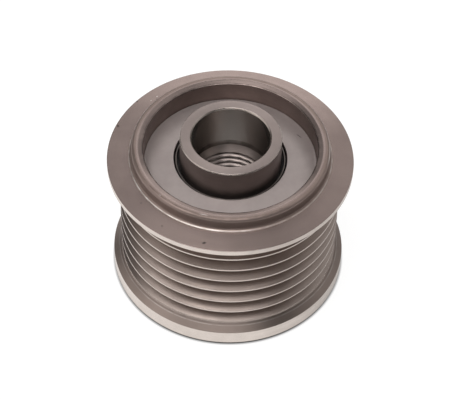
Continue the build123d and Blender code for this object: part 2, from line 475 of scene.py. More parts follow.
class FinishBench(NodeBench):
    """Lays out the nodes of one piece's material.

    Attributes:
        across_rings: share of a turn that points a stretched highlight across the rings.
        line_core: share of a painted line's width, to each side, where it is clearest.
        line_edge: share of its width where it ends.
        dash_scale: scale of the noise that breaks a painted line up into dashes.
        dash_span: the part of that noise that shows.
        dash_gap_level: how much of the line is left in its gaps.
        arc_fade: where an arc has faded out, against its reach.
        mark_core: share of a mark's half length where it starts to fade.
        mark_strength: how clear a mark is at its middle.
    """

    across_rings: float = 0.25
    line_core: float = 0.25
    line_edge: float = 0.6
    dash_scale: float = 420.0
    dash_span: Span = (0.40, 0.55)
    dash_gap_level: float = 0.4
    arc_fade: float = 1.5
    mark_core: float = 0.5
    mark_strength: float = 0.8

    def __init__(self, name: str) -> None:
        """Start an empty material with one principled shader on its output.

        Args:
            name: the material's name.
        """
        self.material = bpy.data.materials.new(name)
        self.material.use_nodes = True
        super().__init__(self.material.node_tree)
        self.shader = self.add("ShaderNodeBsdfPrincipled")
        output = self.add("ShaderNodeOutputMaterial")
        self.link(self.shader.outputs["BSDF"], output.inputs["Surface"])

    def cover(self, colour: Socket, rough: Socket, metal: float = 0.0) -> None:
        """Give the shader its colour, its roughness and its share of metal.

        Args:
            colour: the colour.
            rough: the roughness.
            metal: how metallic it looks, from 0 to 1.
        """
        self.link(colour, self.shader.inputs["Base Color"])
        self.link(rough, self.shader.inputs["Roughness"])
        self.shader.inputs["Metallic"].default_value = metal

    def radius_and_height(self) -> tuple[Socket, Socket, Socket]:
        """Work out lathe coordinates.

        Returns:
            The radius and the height in millimetres, and a number that goes slowly round the axis.
        """
        across, along, up = self.separate(self.place())
        length = self.vector("LENGTH", self.combine(across, along, 0.0)).outputs["Value"]
        radius = self.sum("MULTIPLY", length, 1.0 / MM)
        height = self.sum("MULTIPLY", up, 1.0 / MM)
        round_about = self.sum("DIVIDE", across, length)
        return radius, height, round_about

    def noise(self, vector: Socket, scale: float, detail: float, rough: float) -> Socket:
        """Add a noise texture.

        Args:
            vector: where it is read.
            scale: its scale.
            detail: number of finer layers.
            rough: how strong the finer layers are.

        Returns:
            Its factor, from 0 to 1.
        """
        node = self.add("ShaderNodeTexNoise")
        self.link(vector, node.inputs["Vector"])
        node.inputs["Scale"].default_value = scale
        node.inputs["Detail"].default_value = detail
        node.inputs["Roughness"].default_value = rough
        return node.outputs["Fac"]

    def blend(self, amount: object, first: object, second: object) -> Socket:
        """Mix two colours.

        Args:
            amount: how much of the second one.
            first: the first colour.
            second: the second colour.

        Returns:
            The mixed colour.
        """
        node = self.add("ShaderNodeMix")
        node.data_type = "RGBA"
        self.feed(node.inputs["Factor"], amount)
        for socket, value in ((node.inputs[6], first), (node.inputs[7], second)):
            self.feed(socket, (*value, 1.0) if isinstance(value, tuple) else value)
        return node.outputs[2]

    def bump(self, height: Socket, distance: float, strength: float) -> None:
        """Raise the shader's surface by a height.

        Args:
            height: from 0 to 1.
            distance: what 1 stands for, in millimetres.
            strength: how much of it shows.
        """
        node = self.add("ShaderNodeBump")
        node.inputs["Strength"].default_value = strength
        node.inputs["Distance"].default_value = distance * MM
        self.link(height, node.inputs["Height"])
        self.link(node.outputs[0], self.shader.inputs["Normal"])

    def stretch(self, amount: float) -> None:
        """Stretch highlights across rings that run round the axis.

        Args:
            amount: how far they are stretched, from 0 to 1.
        """
        round_axis = self.add("ShaderNodeTangent")
        round_axis.direction_type = "RADIAL"
        round_axis.axis = "Z"
        self.link(round_axis.outputs[0], self.shader.inputs["Tangent"])
        self.shader.inputs["Anisotropic"].default_value = amount
        self.shader.inputs["Anisotropic Rotation"].default_value = self.across_rings

    def painted_line(self, colour: Socket, painted_line: PaintedLine, radius: Socket, height: Socket) -> Socket:
        """Lay one fine painted line round the axis over a colour: painted shade where it is dark, painted
        highlight where it is bright.

        Args:
            colour: the colour so far.
            painted_line: the line to lay on it.
            radius: distance from the axis.
            height: height above the ring's front face.

        Returns:
            The colour with the line.
        """
        away = self.sum("ABSOLUTE", self.sum("SUBTRACT", radius, painted_line.radius))
        sides = (self.line_core * painted_line.width, self.line_edge * painted_line.width)
        line = self.spread(away, sides, (painted_line.amount, 0.0))
        # The noise breaks the painted line into dashes.
        dash_noise = self.noise(self.place(), self.dash_scale, 2.0, 0.5)
        wear = self.spread(dash_noise, self.dash_span, (self.dash_gap_level, 1.0))
        middle = 0.5 * (painted_line.low + painted_line.high)
        within = self.sum("COMPARE", height, middle, 0.5 * (painted_line.high - painted_line.low))
        amount = self.sum("MULTIPLY", self.sum("MULTIPLY", line, wear), within)
        if painted_line.reach < 180.0:
            amount = self.sum("MULTIPLY", amount, self.arc(painted_line.middle, painted_line.reach))
        return self.blend(amount, colour, painted_line.tone.value)

    def arc(self, middle: float, reach: float) -> Socket:
        """Single out an arc round the axis.

        Args:
            middle: the direction of its middle, in degrees from +X.
            reach: how far it runs to each side, in degrees, with half as much again to fade away.

        Returns:
            1 within the arc and 0 beyond it.
        """
        flat = self.vector("MULTIPLY", self.place(), (1.0, 1.0, 0.0)).outputs[0]
        outward = self.vector("NORMALIZE", flat).outputs[0]
        ahead = (math.cos(math.radians(middle)), math.sin(math.radians(middle)), 0.0)
        facing = self.vector("DOT_PRODUCT", outward, ahead).outputs["Value"]
        faded = math.cos(math.radians(self.arc_fade * reach))
        return self.spread(facing, (faded, math.cos(math.radians(reach))))

    def mark(self, colour: Socket, mark: Mark) -> Socket:
        """Lay one speck or scratch over a colour.

        Args:
            colour: the colour so far.
            mark: the mark to lay on it.

        Returns:
            The colour with the mark.
        """
        middle = tuple(value * MM for value in mark.place)
        offset = self.vector("SUBTRACT", self.place(), middle).outputs[0]
        turned = self.add("ShaderNodeVectorRotate")
        turned.rotation_type = "Z_AXIS"
        self.link(offset, turned.inputs["Vector"])
        turned.inputs["Angle"].default_value = -math.radians(mark.heading)
        size = (2.0 / (mark.length * MM), 2.0 / (mark.width * MM), 2.0 / (mark.length * MM))
        scaled = self.vector("MULTIPLY", turned.outputs[0], size).outputs[0]
        distance = self.vector("LENGTH", scaled).outputs["Value"]
        amount = self.spread(distance, (self.mark_core, 1.0), (self.mark_strength, 0.0))
        return self.blend(amount, colour, mark.tone.value)


@dataclass(frozen=True)
class TurnedSteel:
    """Bright steel off the lathe, with fine rings left by the tool.

    Attributes:
        name: the material's name.
        pale: the colour of the clean metal.
        deep: the colour of its duller patches.
        patch_scale: scale of the patches.
        patch_share: how far they make the mottle, against the broad rings.
        smooth: roughness of the cleanest places.
        dull: roughness of the dullest places.
        line_scale: how many fine rings there are to a millimetre.
        line_depth: depth of the rings, in millimetres.
        band_share: scale of the broad rings against that of the fine ones.
        drift: how far the rings change on their way round the axis.
        root_radius: radius below which the grooves darken with painted shade, 0 for none.
        root_fade: width of the fade from that painted shade to none.
        root_shade: how much painted shade there is at the groove roots.
        root_shade_level: brightness of the painted shade against the duller patches.
        brushed: how far the tool's rings stretch a highlight across them.
        painted_lines: fine painted lines round the axis, painted shade where dark and painted highlight
            where bright.
        marks: specks and scratches, and on the rim's neck painted glints.
    """

    name: str
    pale: Colour
    deep: Colour
    patch_scale: float = 260.0
    patch_share: float = 0.6
    smooth: float = 0.28
    dull: float = 0.36
    line_scale: float = 5.0
    line_depth: float = 0.004
    band_share: float = 0.22
    drift: float = 0.35
    root_radius: float = 0.0
    root_fade: float = 1.0
    root_shade: float = 0.35
    root_shade_level: float = 0.45
    brushed: float = 0.83
    painted_lines: tuple[PaintedLine, ...] = ()
    marks: tuple[Mark, ...] = ()

    def material(self) -> bpy.types.Material:
        """Build the material.

        Returns:
            The finished material.
        """
        bench = FinishBench(self.name)
        radius, height, about = bench.radius_and_height()
        lathe = bench.combine(radius, height, bench.sum("MULTIPLY", about, self.drift))
        fine = bench.noise(lathe, self.line_scale, 3.0, 0.6)
        broad = bench.noise(lathe, self.line_scale * self.band_share, 2.0, 0.5)
        patches = bench.noise(bench.place(), self.patch_scale, 4.0, 0.6)
        rings = bench.sum("MULTIPLY", broad, 1.0 - self.patch_share)
        tone = bench.sum("ADD", bench.sum("MULTIPLY", patches, self.patch_share), rings)
        colour = bench.blend(bench.spread(tone, (0.36, 0.64)), self.pale, self.deep)
        # Painted shade: the colour darkens towards the groove roots, where shade falls.
        if self.root_radius > 0.0:
            roots = (self.root_radius, self.root_radius + self.root_fade)
            root_shade = bench.spread(radius, roots, (self.root_shade, 0.0))
            colour = bench.blend(root_shade, colour, tuple(self.root_shade_level * value for value in self.deep))
        # Painted lines: the dark ones paint shade, the bright ones paint highlights.
        for painted_line in self.painted_lines:
            colour = bench.painted_line(colour, painted_line, radius, height)
        # Marks: specks and scratches, and painted glints where they are bright on the rim's neck.
        for mark in self.marks:
            colour = bench.mark(colour, mark)
        wear = bench.sum("MULTIPLY_ADD", fine, 0.5, bench.sum("MULTIPLY", patches, 0.5))
        bench.cover(colour, bench.spread(wear, (0.35, 0.65), (self.smooth, self.dull)), 1.0)
        bench.stretch(self.brushed)
        bench.bump(fine, self.line_depth, 0.6)
        return bench.material


@dataclass(frozen=True)
class PressedSteel:
    """Rolled sheet, pressed to shape: smooth, with faint streaks one way and a light mottle.

    Attributes:
        name: the material's name.
        pale: the colour of the clean metal.
        deep: the colour of its duller patches.
        smooth: roughness of the cleanest places.
        dull: roughness of the dullest places.
        grain_scale: scale of the grain.
        grain_depth: depth of the streaks, in millimetres.
        streak_scale: scale of the streaks against that of the grain.
        streak_draw: how far they are drawn out along X, less than 1 for longer.
        mottle_scale: scale of the mottle against that of the grain.
        metal: how metallic it looks, less than 1 under a grey film.
        marks: specks and scratches.
    """

    name: str
    pale: Colour
    deep: Colour
    smooth: float = 0.28
    dull: float = 0.40
    grain_scale: float = 900.0
    grain_depth: float = 0.002
    streak_scale: float = 3.0
    streak_draw: float = 0.12
    mottle_scale: float = 0.3
    metal: float = 1.0
    marks: tuple[Mark, ...] = ()

    def material(self) -> bpy.types.Material:
        """Build the material.

        Returns:
            The finished material.
        """
        bench = FinishBench(self.name)
        streaks = bench.vector("MULTIPLY", bench.place(), (self.streak_draw, 1.0, 1.0)).outputs[0]
        grain = bench.noise(streaks, self.grain_scale * self.streak_scale, 3.0, 0.6)
        mottle = bench.noise(bench.place(), self.grain_scale * self.mottle_scale, 5.0, 0.6)
        colour = bench.blend(bench.spread(mottle, (0.38, 0.62)), self.pale, self.deep)
        for mark in self.marks:
            colour = bench.mark(colour, mark)
        wear = bench.sum("MULTIPLY_ADD", grain, 0.4, bench.sum("MULTIPLY", mottle, 0.6))
        bench.cover(colour, bench.spread(wear, (0.36, 0.64), (self.smooth, self.dull)), self.metal)
        bench.bump(grain, self.grain_depth, 0.5)
        return bench.material


@dataclass(frozen=True)
class RollingSteel:
    """Hardened steel of rollers, needles and sleeve, ground to a shine.

    Attributes:
        name: the material's name.
        pale: the colour of the steel.
        smooth: its roughness where it is clean.
        dull: its roughness under the oil.
        oil: brightness of the oiled places against the clean ones.
        film_scale: scale of the oil film.
        grain_scale: scale of its ground surface.
        grain: depth of its ground surface, in millimetres.
    """

    name: str
    pale: Colour
    smooth: float = 0.14
    dull: float = 0.26
    oil: float = 0.78
    film_scale: float = 900.0
    grain_scale: float = 6000.0
    grain: float = 0.0008

    def material(self) -> bpy.types.Material:
        """Build the material.

        Returns:
            The finished material.
        """
        bench = FinishBench(self.name)
        film = bench.noise(bench.place(), self.film_scale, 4.0, 0.6)
        oiled = tuple(value * self.oil for value in self.pale)
        colour = bench.blend(bench.spread(film, (0.4, 0.62)), self.pale, oiled)
        bench.cover(colour, bench.spread(film, (0.35, 0.65), (self.smooth, self.dull)), 1.0)
        bench.bump(bench.noise(bench.place(), self.grain_scale, 2.0, 0.5), self.grain, 0.4)
        return bench.material


@dataclass(frozen=True)
class SoftFinish:
    """Moulded plastic or rubber.

    Attributes:
        name: the material's name.
        pale: the colour of its dusty places.
        deep: its own colour.
        rough: its roughness where it is clean.
        dusty: its roughness under the dust.
        grain: depth of its surface grain, in millimetres.
        dust_scale: scale of the dust.
        grain_scale: scale of the grain.
    """

    name: str
    pale: Colour
    deep: Colour
    rough: float
    dusty: float
    grain: float
    dust_scale: float = 700.0
    grain_scale: float = 4200.0

    def material(self) -> bpy.types.Material:
        """Build the material.

        Returns:
            The finished material.
        """
        bench = FinishBench(self.name)
        dust = bench.noise(bench.place(), self.dust_scale, 5.0, 0.65)
        colour = bench.blend(bench.spread(dust, (0.42, 0.7)), self.deep, self.pale)
        bench.cover(colour, bench.spread(dust, (0.3, 0.7), (self.rough, self.dusty)))
        bench.bump(bench.noise(bench.place(), self.grain_scale, 3.0, 0.55), self.grain, 0.6)
        return bench.material


def dress(name: str, material: bpy.types.Material) -> None:
    """Give a CAD node that keeps its own shape a better material.

    Args:
        name: the node's name.
        material: the material for all its faces.
    """
    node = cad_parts[name]
    if not node.material_slots:
        node.data.materials.append(material)
    for place in node.material_slots:
        place.material = material
    log.info("%s: dressed with %s", name, material.name)


# The pulley's own pieces


@dataclass
class OuterRing:
    """The turned ring with its seven belt grooves, two flanges and rear rim.

    Attributes:
        groove_count: number of belt grooves.
        groove_pitch: distance from groove to groove.
        crest_radius: radius of the crests between the grooves.
        root_radius: radius of the groove roots.
        crest_width: width of a crest's flat.
        root_width: width of a root's flat.
        front_radius: radius of the front flange.
        front_band: height of the front flange's round band.
        front_cone: height of the cone above that band.
        front_land: width of the land below the first groove.
        front_chamfer: size of the front edge's chamfer.
        rear_land: width of the land above the last groove.
        rear_undercut: height of the rear flange's lower cone.
        rear_band: height of the rear flange's round band.
        rear_rise: rise of the rear flange's face up to the rim's foot.
        foot_lift: what that face would rise further, up to the rim's wall.
        rim_radius: radius of the rim's wall.
        rim_shoulder: radius of the round at the top of that wall.
        rim_fillet: radius of the round at its foot.
        rim_foot: width of the ring round that foot that is cut with the wall.
        rim_bevel: width of the bevel inside the rim.
        rim_drop: drop of that bevel.
        seal_seat: radius of both seal seats.
        sleeve_seat: radius of the clutch sleeve's seat.
        front_recess: radius of the front recess.
        front_depth: depth of the front recess.
        cap_groove: (lower edge, upper edge, depth) of the cap's snap groove.
        segments: number of flats round the axis.
    """

    groove_count: int = 7
    groove_pitch: float = 3.56
    crest_radius: float = 24.3
    root_radius: float = 20.92
    crest_width: float = 0.40
    root_width: float = 0.70
    front_radius: float = 26.12
    front_band: float = 3.83
    front_cone: float = 1.50
    front_land: float = 0.44
    front_chamfer: float = 0.45
    rear_land: float = 0.31
    rear_undercut: float = 0.70
    rear_band: float = 1.25
    rear_rise: float = 0.85
    foot_lift: float = 0.098
    rim_radius: float = 21.55
    rim_shoulder: float = 1.05
    rim_fillet: float = 0.60
    rim_foot: float = 0.75
    rim_bevel: float = 1.20
    rim_drop: float = 0.36
    seal_seat: float = 16.5
    sleeve_seat: float = 15.5
    front_recess: float = 17.4
    front_depth: float = 3.6
    cap_groove: tuple[float, float, float] = (1.5, 2.5, 0.45)
    segments: int = 288

    def grooves(self, first_crest: float) -> list[Corner]:
        """List the corners of all the grooves.

        Args:
            first_crest: height of the middle of the lowest crest.

        Returns:
            The corners from the lowest groove upwards.
        """
        corners = []
        for index in range(self.groove_count):
            middle = first_crest + (index + 0.5) * self.groove_pitch
            half = self.groove_pitch / 2 - self.crest_width / 2
            corners += [
                Corner(self.crest_radius, middle - half, 0.09, 2, coat=Coat.GROOVE),
                Corner(self.root_radius, middle - self.root_width / 2, 0.30, 3, coat=Coat.GROOVE),
                Corner(self.root_radius, middle + self.root_width / 2, 0.30, 3, coat=Coat.GROOVE),
                Corner(self.crest_radius, middle + half, 0.09, 2, coat=Coat.CREST),
            ]
        return corners

    def section(self) -> TurnedSection:
        """Work out the whole section from the frame's sizes.

        Returns:
            The closed section of the ring.
        """
        low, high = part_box("outer_ring")
        rear_radius = high[0] / MM
        rim_top = high[2] / MM
        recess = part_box("end_disc")[1][0] / MM
        disc_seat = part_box("end_disc")[0][2] / MM
        sleeve_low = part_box("clutch_sleeve")[0][2] / MM
        sleeve_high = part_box("clutch_sleeve")[1][2] / MM
        cone_top = self.front_band + self.front_cone
        first_crest = cone_top + self.front_land - self.crest_width / 2
        land_top = first_crest + self.groove_count * self.groove_pitch + self.rear_land
        band_low = land_top + self.rear_undercut
        band_top = band_low + self.rear_band
        neck = band_top + self.rear_rise + self.foot_lift
        foot_share = (rear_radius - self.rim_radius - self.rim_foot) / (rear_radius - self.rim_radius)
        foot_top = band_top + (neck - band_top) * foot_share
        groove_low, groove_high, groove_depth = self.cap_groove
        return TurnedSection([
            Corner(self.front_recess, low[2] / MM, 0.12),
            Corner(self.front_radius - self.front_chamfer, 0.0, 0.05, 2),
            Corner(self.front_radius, self.front_chamfer, 0.10, 2, coat=Coat.LAND),
            Corner(self.front_radius, self.front_band, 0.12, coat=Coat.CONE),
            Corner(self.crest_radius, cone_top, 0.15, 2, coat=Coat.LAND),
            *self.grooves(first_crest),
            Corner(self.crest_radius, land_top, 0.10, 2, coat=Coat.CONE),
            Corner(rear_radius, band_low, 0.08, 3, coat=Coat.LAND),
            Corner(rear_radius, band_top, 0.13, 4),
            Corner(self.rim_radius + self.rim_foot, foot_top, coat=Coat.NECK),
            Corner(self.rim_radius, neck, self.rim_fillet, 8, coat=Coat.NECK),
            Corner(self.rim_radius, rim_top, self.rim_shoulder, 9, coat=Coat.NECK),
            Corner(self.rim_radius - self.rim_shoulder, rim_top, coat=Coat.RIM),
            Corner(recess + self.rim_bevel, rim_top, 0.60, 4, coat=Coat.BEVEL),
            Corner(recess, rim_top - self.rim_drop, 0.30, 5, coat=Coat.WALL),
            Corner(recess, disc_seat, 0.02, 2, coat=Coat.WALL),
            Corner(self.seal_seat, disc_seat, 0.10, 2),
            Corner(self.seal_seat, sleeve_high, 0.02, 2),
            Corner(self.sleeve_seat, sleeve_high, 0.10, 2),
            Corner(self.sleeve_seat, sleeve_low, 0.10, 2),
            Corner(self.seal_seat, sleeve_low, 0.02, 2),
            Corner(self.seal_seat, self.front_depth, 0.10, 2),
            Corner(self.front_recess, self.front_depth, 0.05, 2),
            Corner(self.front_recess, groove_high, 0.06, 2),
            Corner(self.front_recess + groove_depth, groove_high, 0.05, 2),
            Corner(self.front_recess + groove_depth, groove_low, 0.05, 2),
            Corner(self.front_recess, groove_low, 0.06, 2),
        ])

    def build(self, finishes: dict[Coat, TurnedSteel]) -> None:
        """Make the ring and give each of its coats a finish.

        Args:
            finishes: the finish of each coat.
        """
        coats = {coat: finish.material() for coat, finish in finishes.items()}
        mesh = turned_mesh("turned_ring", self.section(), self.segments, coats)
        new_piece("turned_ring", Body.PULLEY, mesh, ["outer_ring"])


@dataclass
class EndDisc:
    """The pressed disc in the rear recess, dished up to the hub.

    Attributes:
        thickness: thickness of the sheet.
        flat: width of the flat border.
        hole_radius: radius of its hole.
        segments: number of flats round the axis.
    """

    thickness: float = 1.1
    flat: float = 0.55
    hole_radius: float = 12.35
    segments: int = 256

    def build(self, finish: PressedSteel) -> None:
        """Make the disc and give it its finish.

        Args:
            finish: the steel of the disc.
        """
        low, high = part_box("end_disc")
        outer = high[0] / MM
        seat = low[2] / MM
        top = high[2] / MM
        fold = outer - self.flat
        section = TurnedSection([
            Corner(self.hole_radius, top - self.thickness, 0.12),
            Corner(fold, seat, 0.5, 4),
            Corner(outer, seat, 0.10, 2),
            Corner(outer, seat + self.thickness, 0.16),
            Corner(fold, seat + self.thickness, 0.35, 4),
            Corner(self.hole_radius, top, 0.16, 4),
        ])
        mesh = turned_mesh("dished_disc", section, self.segments, {Coat.FACE: finish.material()})
        new_piece("dished_disc", Body.PULLEY, mesh, ["end_disc"])


@dataclass
class SkinRow:
    """One row of the hub's skin.

    Attributes:
        height: its height.
        radius: its radius, or the least one where it is threaded or toothed.
        shape: how its radius goes round the axis.
        coat: finish of the faces after it.
    """

    height: float
    radius: float
    shape: RowShape = RowShape.ROUND
    coat: Coat = Coat.FACE


@dataclass
class Hub:
    """The threaded hub with its pilot bore, collar and toothed socket.

    Attributes:
        neck_radius: radius of the neck behind the collar.
        raceway_radius: radius of the raceway.
        collar_low: height of the collar's underside.
        collar_high: height of the collar's upper side.
        pilot_radius: radius of the smooth bore.
        pilot_depth: depth of the smooth bore.
        lead_in: height of the 45 degree cone below it.
        thread_radius: radius at the bottom of the thread.
        thread_crest: radius at the crest of the thread.
        thread_pitch: distance from turn to turn.
        thread_flat: half the flat at the bottom of the thread, in pitches.
        thread_flank: width of a flank, in pitches.
        thread_bottom: height where the thread ends.
        run_out: height over which it fades out there.
        relief_length: length of the relief after the thread.
        relief_radius: radius of the relief.
        tooth_count: number of teeth in the tool socket.
        tooth_tip: radius at the tips of the teeth.
        tooth_root: radius at the roots of the teeth.
        half_tip: half the width of a tooth's tip.
        half_root: half the width of the flat between two teeth.
        tooth_row: height of the row that parts the length of the teeth.
        mouth_chamfer: chamfer at the socket's mouth.
        mouth_rows: rows of the skin down that chamfer.
        front_chamfer: chamfer of the raceway's front edge.
        edge: size of the outer top edge's chamfer.
        bore_edge: size of the bore's top edge's chamfer.
        rows_per_turn: rows of the skin for each turn of the thread.
        sharp_angle: angle in degrees from which an edge is sharp.
    """

    neck_radius: float = 11.05
    raceway_radius: float = 12.0
    collar_low: float = 27.52
    collar_high: float = 28.72
    pilot_radius: float = 8.5
    pilot_depth: float = 11.3
    lead_in: float = 1.05
    thread_radius: float = 8.0
    thread_crest: float = 7.188
    thread_pitch: float = 1.5
    thread_flat: float = 1 / 16
    thread_flank: float = 5 / 16
    thread_bottom: float = 14.15
    run_out: float = 0.4
    relief_length: float = 1.0
    relief_radius: float = 8.4
    tooth_count: int = 33
    tooth_tip: float = 8.6
    tooth_root: float = 10.0
    half_tip: float = 0.10
    half_root: float = 0.125
    tooth_row: float = 8.0
    mouth_chamfer: float = 0.5
    mouth_rows: int = 6
    front_chamfer: float = 0.5
    edge: float = 0.20
    bore_edge: float = 0.32
    rows_per_turn: int = 20
    sharp_angle: float = 32.0

    def columns(self) -> list[tuple[float, float]]:
        """Place the skin's columns on the corners of the socket's teeth.

        Returns:
            For each column its angle and the radius of the teeth there.
        """
        pitch = FULL_TURN / self.tooth_count
        tip = self.half_tip / self.tooth_tip
        root = self.half_root / self.tooth_root
        places = []
        for tooth in range(self.tooth_count):
            start = tooth * pitch
            for angle, radius in (
                (root, self.tooth_root),
                (pitch / 2 - tip, self.tooth_tip),
                (pitch / 2 + tip, self.tooth_tip),
                (pitch - root, self.tooth_root),
            ):
                places.append((start + angle, radius))
        columns = []
        for index, (angle, radius) in enumerate(places):
            after_angle, after_radius = places[(index + 1) % len(places)]
            after_angle += FULL_TURN if index + 1 == len(places) else 0.0
            columns.append((angle, radius))
            columns.append(((angle + after_angle) / 2, (radius + after_radius) / 2))
        return columns

    def thread_at(self, height: float, angle: float) -> float:
        """Give the radius of the right-hand thread.

        Args:
            height: height above the ring's front face.
            angle: angle about the axis, in radians.

        Returns:
            The radius of the thread's flank, crest or root there.
        """
        phase = (height / self.thread_pitch - angle / FULL_TURN) % 1.0
        away = min(phase, 1.0 - phase)
        share = max(0.0, min(1.0, (away - self.thread_flat) / self.thread_flank))
        return self.thread_radius + (self.thread_crest - self.thread_radius) * share

    def rows(self) -> list[SkinRow]:
        """List the rows of the skin, from the front face up the outside and down the bore.

        Returns:
            The rows, in order round the closed section.
        """
        low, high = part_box("hub")
        front = low[2] / MM
        top = high[2] / MM
        collar_radius = high[0] / MM
        pilot_bottom = top - self.pilot_depth
        thread_top = pilot_bottom - self.lead_in
        socket_top = self.thread_bottom - self.relief_length
        mouth = self.tooth_root + self.mouth_chamfer
        outside = TurnedSection([
            Corner(mouth, front),
            Corner(self.raceway_radius - self.front_chamfer, front, 0.05, 2),
            Corner(self.raceway_radius, front + self.front_chamfer, 0.08, 2),
            Corner(self.raceway_radius, self.collar_low, 0.05, 2),
            Corner(collar_radius, self.collar_low, 0.10, 2),
            Corner(collar_radius, self.collar_high, 0.10, 2),
            Corner(self.neck_radius, self.collar_high, 0.15, 2),
            Corner(self.neck_radius, top - self.edge, 0.07, 3, coat=Coat.EDGE),
            Corner(self.neck_radius - self.edge, top, 0.07, 3),
            Corner(self.pilot_radius + self.bore_edge, top, 0.07, 3, coat=Coat.EDGE),
            Corner(self.pilot_radius, top - self.bore_edge, 0.07, 3, coat=Coat.BORE),
            Corner(self.pilot_radius, pilot_bottom, 0.05, 2, coat=Coat.THREAD),
            Corner(self.pilot_radius - self.lead_in, thread_top, coat=Coat.THREAD),
        ], closed=False)
        rows = [SkinRow(strip.start[1], strip.start[0], coat=strip.coat) for strip in outside.strips()]
        length = thread_top - self.thread_bottom
        count = round(length / self.thread_pitch * self.rows_per_turn)
        depth = self.thread_radius - self.thread_crest
        for index in range(count + 1):
            height = thread_top - length * index / count
            cone = self.pilot_radius - (pilot_bottom - height)
            fading = self.thread_radius - (height - self.thread_bottom) * depth / self.run_out
            limit = max(self.thread_crest, cone, fading)
            rows.append(SkinRow(height, limit, RowShape.THREADED, Coat.THREAD))
        rows.append(SkinRow(self.thread_bottom, self.relief_radius, coat=Coat.BORE))
        rows.append(SkinRow(socket_top, self.relief_radius, coat=Coat.BORE))
        rows.append(SkinRow(socket_top, self.tooth_tip, RowShape.TOOTHED))
        drop = mouth - self.tooth_tip
        chamfer = [front + drop * step / self.mouth_rows for step in range(self.mouth_rows, 0, -1)]
        for height in (self.tooth_row, front + drop + 0.02, *chamfer):
            limit = max(0.0, mouth - (height - front))
            rows.append(SkinRow(height, limit, RowShape.TOOTHED, Coat.BORE))
        return rows

    def mesh(self, coats: dict[Coat, bpy.types.Material]) -> bpy.types.Mesh:
        """Make the hub's closed skin.

        Args:
            coats: the material of each coat.

        Returns:
            The mesh, in metres.
        """
        columns = self.columns()
        rows = self.rows()
        vertices = []
        for row in rows:
            for angle, tooth in columns:
                radius = row.radius
                if row.shape is RowShape.THREADED:
                    radius = max(row.radius, self.thread_at(row.height, angle))
                elif row.shape is RowShape.TOOTHED:
                    radius = max(row.radius, tooth)
                across, along = radius * MM * math.cos(angle), radius * MM * math.sin(angle)
                vertices.append((across, along, row.height * MM))
        width = len(columns)
        faces = []
        for index in range(len(rows)):
            low = index * width
            high = (index + 1) % len(rows) * width
            for step in range(width):
                after = (step + 1) % width
                faces.append((low + step, low + after, high + after, high + step))
        mesh = bpy.data.meshes.new("threaded_hub")
        mesh.from_pydata(vertices, [], faces)
        paint(mesh, coats, [row.coat for row in rows for _ in range(width)])
        mesh.update()
        mesh.shade_smooth()
        mesh.set_sharp_from_angle(angle=math.radians(self.sharp_angle))
        return mesh

    def build(self, finishes: dict[Coat, TurnedSteel]) -> None:
        """Make the hub and give each of its coats a finish.

        Args:
            finishes: the finish of each coat.
        """
        mesh = self.mesh({coat: finish.material() for coat, finish in finishes.items()})
        piece = new_piece("threaded_hub", Body.HUB, mesh, ["hub"])
        flats = piece.modifiers.new("flat_faces_lead", "WEIGHTED_NORMAL")
        flats.keep_sharp = True


@dataclass
class RearSeal:
    """The steel case and rubber lip that close the gap between end disc and hub.

    Attributes:
        sheet: thickness of the case's sheet.
        neck_sheet: thickness of its neck.
        neck_radius: outer radius of its neck.
        end_play: gap between its flange and the disc.
        lip_sheet: thickness of the lip at its root.
        lip_radius: radius of the lip's edge.
        lip_rise: height of the lip's edge above its root.
        segments: number of flats round the axis.
    """

    sheet: float = 0.6
    neck_sheet: float = 0.40
    neck_radius: float = 12.05
    end_play: float = 0.08
    lip_sheet: float = 0.45
    lip_radius: float = 11.11
    lip_rise: float = 1.35
    segments: int = 192

    def build(self, steel: PressedSteel, rubber: SoftFinish) -> None:
        """Make both pieces and give them their finishes.

        Args:
            steel: the steel of the case.
            rubber: the rubber of the lip.
        """
        low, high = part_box("rear_seal_case")
        outer = high[0] / MM
        foot = low[2] / MM
        top = high[2] / MM
        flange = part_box("end_disc")[0][2] / MM - self.end_play
        inner = self.neck_radius - self.neck_sheet
        case = TurnedSection([
            Corner(inner, flange - self.sheet, 0.2, 3),
            Corner(outer - self.sheet, flange - self.sheet, 0.3, 3),
            Corner(outer - self.sheet, foot, 0.08, 2),
            Corner(outer, foot, 0.08, 2),
            Corner(outer, flange, 0.4, 3),
            Corner(self.neck_radius, flange, 0.3, 3),
            Corner(self.neck_radius, top, 0.13, 4),
            Corner(inner, top, 0.13, 4),
        ])
        mesh = turned_mesh("rear_case", case, self.segments, {Coat.FACE: steel.material()})
        new_piece("rear_case", Body.PULLEY, mesh, ["rear_seal_case"])
        low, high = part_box("rear_seal_lip")
        root = high[0] / MM
        foot = low[2] / MM
        lip = TurnedSection([
            Corner(root - self.lip_sheet, foot, 0.1, 3),
            Corner(root, foot, 0.03, 2),
            Corner(root, high[2] / MM, 0.1, 3),
            Corner(self.lip_radius, foot + self.lip_rise, 0.06, 3),
        ])
        mesh = turned_mesh("rear_lip", lip, self.segments, {Coat.FACE: rubber.material()})
        new_piece("rear_lip", Body.PULLEY, mesh, ["rear_seal_lip"])


